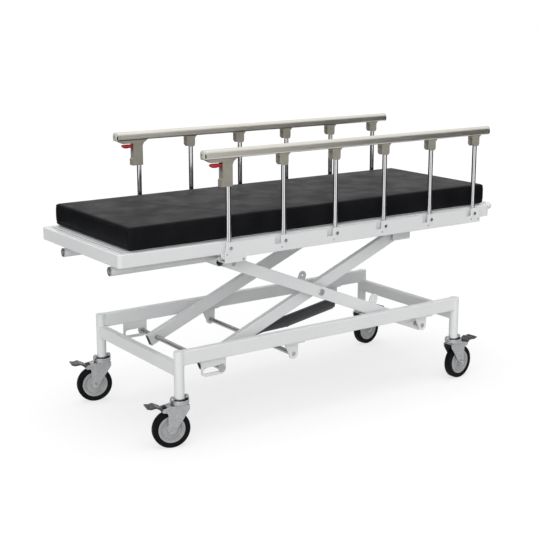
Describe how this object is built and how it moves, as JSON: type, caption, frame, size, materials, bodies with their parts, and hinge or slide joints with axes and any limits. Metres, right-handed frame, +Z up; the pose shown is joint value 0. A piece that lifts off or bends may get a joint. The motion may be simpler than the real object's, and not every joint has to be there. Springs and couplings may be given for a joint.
{
  "type": "patient transport stretcher",
  "caption": "Height-adjustable patient transport stretcher: padded bed on a scissor lift, folding side rails, wheeled base with braked swivel castors and a push handle.",
  "frame": {"origin": "on the floor, midway between the four castor stems", "axes": "+X to the head end with the push handle, +Y to the patient's right side, +Z up"},
  "size_m": [1.926, 0.7531, 1.143],
  "materials": {
    "white_paint": "semi-gloss white powder coat",
    "zinc": "zinc-plated, dull",
    "chrome": "polished",
    "rubber": "matt black",
    "grey_plastic": "moulded grey",
    "dark_plastic": "moulded, fine texture",
    "beige_plastic": "moulded beige",
    "rail_aluminium": "anodised, champagne tone",
    "red_plastic": "moulded red",
    "dark_paint": "semi-gloss dark grey",
    "vinyl": "black coated fabric, fine grain",
    "white_laminate": "smooth white laminate",
    "bright_steel": "ground and polished"
  },
  "bodies": {
    "base": {"foot_end_frame": "white_paint", "head_end_frame": "white_paint", "base_rail_left": "white_paint", "base_rail_right": "white_paint", "ram_mount_shaft": "zinc", "main_pivot_shaft": "zinc"},
    "main_arms": {"main_arm_left": "white_paint", "main_arm_right": "white_paint", "ram_cross_bar": "zinc", "bed_pivot_shaft": "zinc"},
    "brace_arms": {"brace_arm_left": "white_paint", "brace_arm_right": "white_paint", "centre_pivot_shaft": "zinc", "foot_slide_axle": "zinc", "head_slide_axle": "zinc"},
    "ram_body": {"ram_cylinder": "dark_paint"},
    "ram_piston": {"ram_rod": "bright_steel"},
    "bed": {"bed_frame": "white_paint", "bed_underframe": "white_paint", "deck_board": "white_laminate", "push_handle": "white_paint", "mattress": "vinyl", "under_tube_left": "white_paint", "under_tube_right": "white_paint", "side_channel_left": "white_paint", "side_channel_right": "white_paint"},
    "castor_foot_left": {"castor_fork_foot_left": "zinc"},
    "wheel_foot_left": {"castor_tyre_foot_left": "rubber", "castor_rim_foot_left": "grey_plastic"},
    "pedal_foot_left": {"brake_pedal_foot_left": "dark_plastic"},
    "castor_foot_right": {"castor_fork_foot_right": "zinc"},
    "wheel_foot_right": {"castor_tyre_foot_right": "rubber", "castor_rim_foot_right": "grey_plastic"},
    "pedal_foot_right": {"brake_pedal_foot_right": "dark_plastic"},
    "castor_head_left": {"castor_fork_head_left": "zinc"},
    "wheel_head_left": {"castor_tyre_head_left": "rubber", "castor_rim_head_left": "grey_plastic"},
    "pedal_head_left": {"brake_pedal_head_left": "dark_plastic"},
    "castor_head_right": {"castor_fork_head_right": "zinc"},
    "wheel_head_right": {"castor_tyre_head_right": "rubber", "castor_rim_head_right": "grey_plastic"},
    "pedal_head_right": {"brake_pedal_head_right": "dark_plastic"},
    "post_left_1": {"post_left_1": "chrome"},
    "post_left_2": {"post_left_2": "chrome"},
    "post_left_3": {"post_left_3": "chrome"},
    "post_left_4": {"post_left_4": "chrome"},
    "post_left_5": {"post_left_5": "chrome"},
    "post_left_6": {"post_left_6": "chrome"},
    "rail_left": {"top_rail_left": "rail_aluminium", "post_brackets_left": "beige_plastic"},
    "lever_left": {"release_lever_left": "red_plastic"},
    "post_right_1": {"post_right_1": "chrome"},
    "post_right_2": {"post_right_2": "chrome"},
    "post_right_3": {"post_right_3": "chrome"},
    "post_right_4": {"post_right_4": "chrome"},
    "post_right_5": {"post_right_5": "chrome"},
    "post_right_6": {"post_right_6": "chrome"},
    "rail_right": {"top_rail_right": "rail_aluminium", "post_brackets_right": "beige_plastic"},
    "lever_right": {"release_lever_right": "red_plastic"}
  },
  "joints": [
    {"name": "lift", "type": "hinge", "parent": "base", "child": "main_arms", "pos_m": [0.53, 0, 0.278], "axis": [0, 1, 0], "range_deg": [-12.5, 0]},
    {"name": "arm_crossing", "type": "hinge", "parent": "main_arms", "child": "brace_arms", "pos_m": [0.004, 0, 0.49588], "axis": [0, 1, 0], "range_deg": [-0.5, 25.5]},
    {"name": "bed_hinge", "type": "hinge", "parent": "main_arms", "child": "bed", "pos_m": [-0.43022, 0, 0.67574], "axis": [0, 1, 0], "range_deg": [-0.5, 13]},
    {"name": "ram_foot", "type": "hinge", "parent": "base", "child": "ram_body", "pos_m": [-0.172, 0, 0.272], "axis": [0, 1, 0], "range_deg": [-0.5, 5.28]},
    {"name": "ram_stroke", "type": "slide", "parent": "ram_body", "child": "ram_piston", "axis": [0.9851, 0, 0.1717], "range_m": [-0.02074, 0.001]},
    {"name": "swivel_foot_left", "type": "hinge", "parent": "base", "child": "castor_foot_left", "pos_m": [-0.716, -0.327, 0.196], "axis": [0, 0, 1], "continuous": true},
    {"name": "roll_foot_left", "type": "hinge", "parent": "castor_foot_left", "child": "wheel_foot_left", "pos_m": [-0.75093, -0.31829, 0.075], "axis": [-0.2419, -0.9703, 0], "continuous": true},
    {"name": "brake_foot_left", "type": "hinge", "parent": "castor_foot_left", "child": "pedal_foot_left", "pos_m": [-0.78392, -0.31006, 0.1537], "axis": [-0.2419, -0.9703, 0], "range_deg": [0, 10]},
    {"name": "swivel_foot_right", "type": "hinge", "parent": "base", "child": "castor_foot_right", "pos_m": [-0.716, 0.327, 0.196], "axis": [0, 0, 1], "continuous": true},
    {"name": "roll_foot_right", "type": "hinge", "parent": "castor_foot_right", "child": "wheel_foot_right", "pos_m": [-0.75093, 0.33571, 0.075], "axis": [-0.2419, -0.9703, 0], "continuous": true},
    {"name": "brake_foot_right", "type": "hinge", "parent": "castor_foot_right", "child": "pedal_foot_right", "pos_m": [-0.78392, 0.34393, 0.1537], "axis": [-0.2419, -0.9703, 0], "range_deg": [0, 10]},
    {"name": "swivel_head_left", "type": "hinge", "parent": "base", "child": "castor_head_left", "pos_m": [0.716, -0.327, 0.196], "axis": [0, 0, 1], "continuous": true},
    {"name": "roll_head_left", "type": "hinge", "parent": "castor_head_left", "child": "wheel_head_left", "pos_m": [0.7518, -0.32324, 0.075], "axis": [-0.1045, 0.9945, 0], "continuous": true},
    {"name": "brake_head_left", "type": "hinge", "parent": "castor_head_left", "child": "pedal_head_left", "pos_m": [0.78562, -0.31968, 0.1537], "axis": [-0.1045, 0.9945, 0], "range_deg": [0, 10]},
    {"name": "swivel_head_right", "type": "hinge", "parent": "base", "child": "castor_head_right", "pos_m": [0.716, 0.327, 0.196], "axis": [0, 0, 1], "continuous": true},
    {"name": "roll_head_right", "type": "hinge", "parent": "castor_head_right", "child": "wheel_head_right", "pos_m": [0.7518, 0.33076, 0.075], "axis": [-0.1045, 0.9945, 0], "continuous": true},
    {"name": "brake_head_right", "type": "hinge", "parent": "castor_head_right", "child": "pedal_head_right", "pos_m": [0.78562, 0.33432, 0.1537], "axis": [-0.1045, 0.9945, 0], "range_deg": [0, 10]},
    {"name": "fold_left_1", "type": "hinge", "parent": "bed", "child": "post_left_1", "pos_m": [-0.501, -0.3495, 0.762], "axis": [0, 1, 0], "range_deg": [-78, 0]},
    {"name": "fold_left_2", "type": "hinge", "parent": "bed", "child": "post_left_2", "pos_m": [-0.2441, -0.3495, 0.762], "axis": [0, 1, 0], "range_deg": [-78.5, 0.5]},
    {"name": "fold_left_3", "type": "hinge", "parent": "bed", "child": "post_left_3", "pos_m": [0.0128, -0.3495, 0.762], "axis": [0, 1, 0], "range_deg": [-78.5, 0.5]},
    {"name": "fold_left_4", "type": "hinge", "parent": "bed", "child": "post_left_4", "pos_m": [0.2697, -0.3495, 0.762], "axis": [0, 1, 0], "range_deg": [-78.5, 0.5]},
    {"name": "fold_left_5", "type": "hinge", "parent": "bed", "child": "post_left_5", "pos_m": [0.5266, -0.3495, 0.762], "axis": [0, 1, 0], "range_deg": [-78.5, 0.5]},
    {"name": "fold_left_6", "type": "hinge", "parent": "bed", "child": "post_left_6", "pos_m": [0.7835, -0.3495, 0.762], "axis": [0, 1, 0], "range_deg": [-78.5, 0.5]},
    {"name": "rail_hinge_left", "type": "hinge", "parent": "post_left_1", "child": "rail_left", "pos_m": [-0.501, -0.3495, 1.083], "axis": [0, 1, 0], "range_deg": [-0.5, 78.5]},
    {"name": "release_left", "type": "hinge", "parent": "rail_left", "child": "lever_left", "pos_m": [-0.525, -0.3495, 1.082], "axis": [0, -1, 0], "range_deg": [0, 12], "stiffness_Nm_per_rad": 1, "springref_deg": -20.05},
    {"name": "fold_right_1", "type": "hinge", "parent": "bed", "child": "post_right_1", "pos_m": [-0.501, 0.3495, 0.762], "axis": [0, 1, 0], "range_deg": [-78, 0]},
    {"name": "fold_right_2", "type": "hinge", "parent": "bed", "child": "post_right_2", "pos_m": [-0.2441, 0.3495, 0.762], "axis": [0, 1, 0], "range_deg": [-78.5, 0.5]},
    {"name": "fold_right_3", "type": "hinge", "parent": "bed", "child": "post_right_3", "pos_m": [0.0128, 0.3495, 0.762], "axis": [0, 1, 0], "range_deg": [-78.5, 0.5]},
    {"name": "fold_right_4", "type": "hinge", "parent": "bed", "child": "post_right_4", "pos_m": [0.2697, 0.3495, 0.762], "axis": [0, 1, 0], "range_deg": [-78.5, 0.5]},
    {"name": "fold_right_5", "type": "hinge", "parent": "bed", "child": "post_right_5", "pos_m": [0.5266, 0.3495, 0.762], "axis": [0, 1, 0], "range_deg": [-78.5, 0.5]},
    {"name": "fold_right_6", "type": "hinge", "parent": "bed", "child": "post_right_6", "pos_m": [0.7835, 0.3495, 0.762], "axis": [0, 1, 0], "range_deg": [-78.5, 0.5]},
    {"name": "rail_hinge_right", "type": "hinge", "parent": "post_right_1", "child": "rail_right", "pos_m": [-0.501, 0.3495, 1.083], "axis": [0, 1, 0], "range_deg": [-0.5, 78.5]},
    {"name": "release_right", "type": "hinge", "parent": "rail_right", "child": "lever_right", "pos_m": [-0.525, 0.3495, 1.082], "axis": [0, -1, 0], "range_deg": [0, 12], "stiffness_Nm_per_rad": 1, "springref_deg": -20.05}
  ],
  "couplings": [
    {"joint": "arm_crossing", "follows": "lift", "ratio": -2},
    {"joint": "bed_hinge", "follows": "lift", "ratio": -1},
    {"joint": "ram_foot", "follows": "lift", "ratio": -0.382},
    {"joint": "ram_stroke", "follows": "lift", "m_per_rad": 0.0905},
    {"joint": "fold_left_2", "follows": "fold_left_1", "ratio": 1},
    {"joint": "fold_left_3", "follows": "fold_left_1", "ratio": 1},
    {"joint": "fold_left_4", "follows": "fold_left_1", "ratio": 1},
    {"joint": "fold_left_5", "follows": "fold_left_1", "ratio": 1},
    {"joint": "fold_left_6", "follows": "fold_left_1", "ratio": 1},
    {"joint": "rail_hinge_left", "follows": "fold_left_1", "ratio": -1},
    {"joint": "fold_right_2", "follows": "fold_right_1", "ratio": 1},
    {"joint": "fold_right_3", "follows": "fold_right_1", "ratio": 1},
    {"joint": "fold_right_4", "follows": "fold_right_1", "ratio": 1},
    {"joint": "fold_right_5", "follows": "fold_right_1", "ratio": 1},
    {"joint": "fold_right_6", "follows": "fold_right_1", "ratio": 1},
    {"joint": "rail_hinge_right", "follows": "fold_right_1", "ratio": -1}
  ]
}
